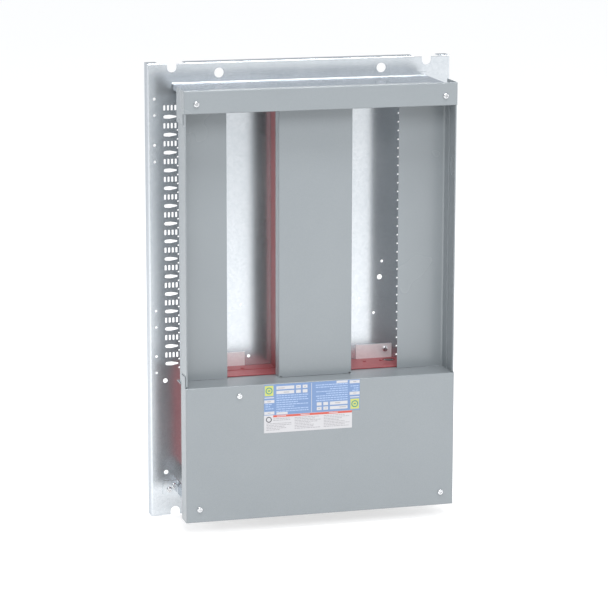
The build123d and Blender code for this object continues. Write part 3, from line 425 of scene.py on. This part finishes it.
def print_piece(name, ink, slabs, level=1):
    """One piece per ink, from a list of (left, right, top, bottom)."""
    bm = bmesh.new()
    for slab in slabs:
        ink_slab(bm, *slab, level=level)
    print(name, len(slabs), "slabs")
    return finished_piece(bm, name, inks[ink], "cover")


print("Label film", round((label_high.x - label_low.x) / MM, 1), "mm wide")

# %% [markdown]
# ## Laying out the two halves
# One half is written as a table of slabs. The other half is the same table
# turned half round about the middle of the blue field, which a short function
# does to any list of slabs.

# %% Laying out the two halves
# All in mm: the blue field, the note's width, then the print's row pitch and height
BLUE_WIDE, BLUE_TALL = 210.5, 66.5
NOTE_WIDE = 193.5
BLUE_PITCH, BLUE_LETTER = 4.8, 1.9
NOTE_PITCH, NOTE_LETTER = 3.4, 1.2
WORD_SHORT, WORD_LONG, WORD_GAP = 2.2, 7.5, 1.1
WORD_LEAST = 1.5           # a row ends when less room than this is left
RAGGED_SHARE = 0.5         # the most of a row that may stay empty at its end


def both_halves(slabs):
    """The slabs, and the same turned half round about the blue field's middle."""
    turned = [(BLUE_WIDE - right, BLUE_WIDE - left, BLUE_TALL - bottom, BLUE_TALL - top)
              for left, right, top, bottom in slabs]
    return slabs + turned


def print_lines(left, right, top, bottom, pitch, tall, seed):
    """Rows of word-long bars that stand for lines of print."""
    dice = random.Random(seed)
    slabs = []
    row = top
    while row + tall <= bottom:
        x = left
        row_end = right - (dice.random() ** 3) * (right - left) * RAGGED_SHARE
        while x < row_end - WORD_LEAST:
            word = min(dice.uniform(WORD_SHORT, WORD_LONG), row_end - x)
            slabs.append((x, x + word, row, row + tall))
            x += word + WORD_GAP
        row += pitch
    return slabs


# Left, right, top and bottom of each white box, then of the line under the badge
boxes = [(27.0, 66.0, 4.5, 11.5), (27.0, 66.0, 14.5, 21.5),
         (70.0, 80.5, 4.5, 11.5), (70.0, 80.5, 14.5, 21.5),
         (84.5, 95.0, 4.5, 11.5), (84.5, 95.0, 14.5, 21.5),
         (0.6, 22.5, 33.5, 40.0), (0.6, 22.5, 58.5, 65.0),
         (27.0, 51.5, 61.0, 65.8), (1.2, 21.5, 27.5, 29.6)]
small_print = (print_lines(27.0, 98.0, 24.5, 60.0, BLUE_PITCH, BLUE_LETTER, 3)
               + print_lines(3.0, 20.5, 42.0, 57.0, BLUE_PITCH, BLUE_LETTER, 5))
print_piece("label_blue_field", "blue", [(0.0, BLUE_WIDE, 0.0, BLUE_TALL)], 1)
print_piece("label_white_boxes", "white",
            both_halves(boxes) + [(103.6, 104.6, 2.0, 65.0)], 2)
print_piece("label_small_print", "pale", both_halves(small_print), 2)
print_piece("label_box_entries", "text",
            both_halves([(30.0, 45.0, 8.0, 9.3), (43.0, 55.0, 17.5, 18.8),
                         (72.5, 77.5, 7.6, 8.9), (88.0, 91.5, 7.6, 8.9),
                         (7.0, 15.0, 36.2, 37.4), (8.0, 14.5, 61.2, 62.4)]), 3)

# %% [markdown]
# ## Badge squares and the white note
# The two yellow squares get a plain ring and bar. A ring is two circles joined by
# a bridge of faces and given thickness by an extrude, so it has a real inside
# edge. The white note has a red strip along its top, a plain ring at its left and
# three columns of print.

# %% Badge squares and the white note
BADGE_IN, BADGE_DOWN = 11.0, 13.5
BAR_HALF_WIDE, BAR_HALF_TALL = 2.6, 1.4
badge = [(1.5, 20.5, 2.5, 24.5)]
print_piece("label_yellow_squares", "yellow", both_halves(badge), 2)


def badge_ring(bm, x, z, outer, inner):
    """A flat ring of ink round a point in mm from the label's top left."""
    centre = Vector((label_left + x * MM, label_front - INK * 2, label_top - z * MM))
    turn = Matrix.Rotation(math.radians(90), 4, "X")
    edges = set()
    for radius in (outer, inner):
        loop = bmesh.ops.create_circle(bm, segments=32, radius=radius * MM,
                                       matrix=Matrix.Translation(centre) @ turn)
        edges.update(edge for vert in loop["verts"] for edge in vert.link_edges)
    band = bmesh.ops.bridge_loops(bm, edges=list(edges))["faces"]
    grown = bmesh.ops.extrude_face_region(bm, geom=band)
    rim = [v for v in grown["geom"] if isinstance(v, bmesh.types.BMVert)]
    bmesh.ops.translate(bm, verts=rim, vec=(0.0, -INK, 0.0))


bm = bmesh.new()
for x, z in ((BADGE_IN, BADGE_DOWN), (BLUE_WIDE - BADGE_IN, BLUE_TALL - BADGE_DOWN)):
    badge_ring(bm, x, z, outer=7.6, inner=5.4)
    ink_slab(bm, x - BAR_HALF_WIDE, x + BAR_HALF_WIDE, z - BAR_HALF_TALL, z + BAR_HALF_TALL, 3)
print("Badge rings:", len(bm.faces), "faces")
finished_piece(bm, "label_badge_rings", inks["green"], "cover")

bm = bmesh.new()
badge_ring(bm, 10.5, 76.0, outer=6.4, inner=4.4)
finished_piece(bm, "label_note_ring", inks["dark"], "cover")

print_piece("label_red_strip", "red", [(20.0, NOTE_WIDE, 67.0, 71.6)], 1)
strip_marks = [(left, left + 20.0, 68.6, 70.0) for left in (28.0, 80.0, 142.0)]
print_piece("label_strip_marks", "white", strip_marks, 2)
columns = []
for left, right, top, bottom, seed in ((20.0, 60.0, 74.2, 80.0, 11),
                                       (5.0, 60.0, 84.5, 101.5, 13),
                                       (67.0, 124.0, 74.2, 101.5, 17),
                                       (131.0, 188.0, 74.2, 101.5, 19)):
    columns += print_lines(left, right, top, bottom, NOTE_PITCH, NOTE_LETTER, seed)
print_piece("label_note_print", "text", columns, 1)

# %% [markdown]
# ## Floor, world and lamps
# The interior stands on a plain pale floor that runs far behind it. A bright
# even world fills every shadow, as a light tent does. A large soft lamp high in
# front lights the faces and another lights what lies flat. A weak one on the
# right and one behind on the left lift the return walls, and a long narrow one
# behind draws a bright line along the folds. The floor glows, which keeps it
# pale under the object; far out in front the glow falls off, and the top of
# the pan mirrors that as blue-grey.

# %% Floor, world and lamps
FLOOR_HALF = 40.0
GLOW_NEAR, GLOW_FAR = 0.65, 0.28


def floor_finish():
    material, tree, shader = new_finish("studio_floor")
    place = object_place(tree)
    cloud = noise(tree, place, 1.5, 2.0)
    colour = blend_colours(tree, cloud, grey(0.49), grey(0.51))
    split = add_node(tree, "ShaderNodeSeparateXYZ", Vector=place)
    far = spread(tree, split.outputs["Y"], -4.3, -3.1, 1.0, 0.0)
    left = spread(tree, split.outputs["X"], 1.3, 1.7, 1.0, 0.0)
    glow = spread(tree, sums(tree, "MULTIPLY", far, left), 0.0, 1.0, GLOW_NEAR, GLOW_FAR)
    set_shader(tree, shader, Base_Color=colour, Roughness=0.9, Specular_IOR_Level=0.1,
               Emission_Color=grey(1.0), Emission_Strength=glow)
    return material


bm = bmesh.new()
bmesh.ops.create_grid(bm, x_segments=8, y_segments=8, size=FLOOR_HALF)
bmesh.ops.translate(bm, verts=bm.verts, vec=(0.0, 0.0, cad_box[0][2]))
floor_mesh = bpy.data.meshes.new("studio_floor")
bm.to_mesh(floor_mesh)
bm.free()
floor = bpy.data.objects.new("studio_floor", floor_mesh)
bpy.context.scene.collection.objects.link(floor)
floor_mesh.materials.append(floor_finish())

world = bpy.data.worlds.new("light_tent")
bpy.context.scene.world = world
world.use_nodes = True
sky = world.node_tree.nodes["Background"].inputs
sky["Color"].default_value = (0.94, 0.97, 1.0, 1.0)
sky["Strength"].default_value = 0.66


def soft_lamp(name, place, target, wide, tall, watts):
    """A rectangular area lamp at place that faces target."""
    data = bpy.data.lights.new(name, "AREA")
    data.shape = "RECTANGLE"
    data.size, data.size_y = wide, tall
    data.energy = watts
    lamp = bpy.data.objects.new(name, data)
    lamp.location = place
    aim = Vector(target) - Vector(place)
    lamp.rotation_euler = aim.to_track_quat("-Z", "Y").to_euler()
    bpy.context.scene.collection.objects.link(lamp)
    return lamp


soft_lamp("key_front", (-0.6, -5.0, 3.4), (0.0, 0.0, 0.0), 3.0, 2.2, 140.0)
soft_lamp("top_front", (0.1, -1.7, 4.0), (0.0, -0.1, 0.2), 2.8, 1.0, 90.0)
soft_lamp("side_card", (4.2, -2.6, 1.4), (0.0, 0.0, 0.2), 1.6, 2.4, 30.0)
soft_lamp("rim_left", (-3.4, 1.4, 1.6), (0.0, 0.0, 0.1), 1.6, 2.4, 52.0)
soft_lamp("top_strip", (0.3, 1.6, 3.6), (0.0, 0.0, 0.3), 2.6, 0.4, 75.0)
print("Floor at", round(cad_box[0][2], 4))

# %% [markdown]
# ## Camera
# A long lens from the front left, a little above the middle, keeps the
# uprights almost parallel. Yaw, pitch and roll turn it towards the object, and a
# small shift of the film places the object without turning the view.

# %% Camera
CAMERA_PLACE = (-1.5545, -5.6490, 1.1786)
CAMERA_YAW, CAMERA_PITCH, CAMERA_ROLL = 15.632, 11.745, 0.136
camera_data = bpy.data.cameras.new("studio_camera")
camera_data.lens = 163.53
camera_data.sensor_width = 36.0
camera_data.shift_x = -0.01280
camera_data.shift_y = -0.00020
camera_data.clip_end = 200.0
camera = bpy.data.objects.new("studio_camera", camera_data)
camera.location = CAMERA_PLACE
turn = (Matrix.Rotation(math.radians(-CAMERA_YAW), 4, "Z")
        @ Matrix.Rotation(math.radians(90.0 - CAMERA_PITCH), 4, "X")
        @ Matrix.Rotation(math.radians(CAMERA_ROLL), 4, "Z"))
camera.rotation_euler = turn.to_euler()
bpy.context.scene.collection.objects.link(camera)
bpy.context.scene.camera = camera
bpy.context.scene.view_settings.view_transform = "Standard"
print("Camera at", CAMERA_PLACE)
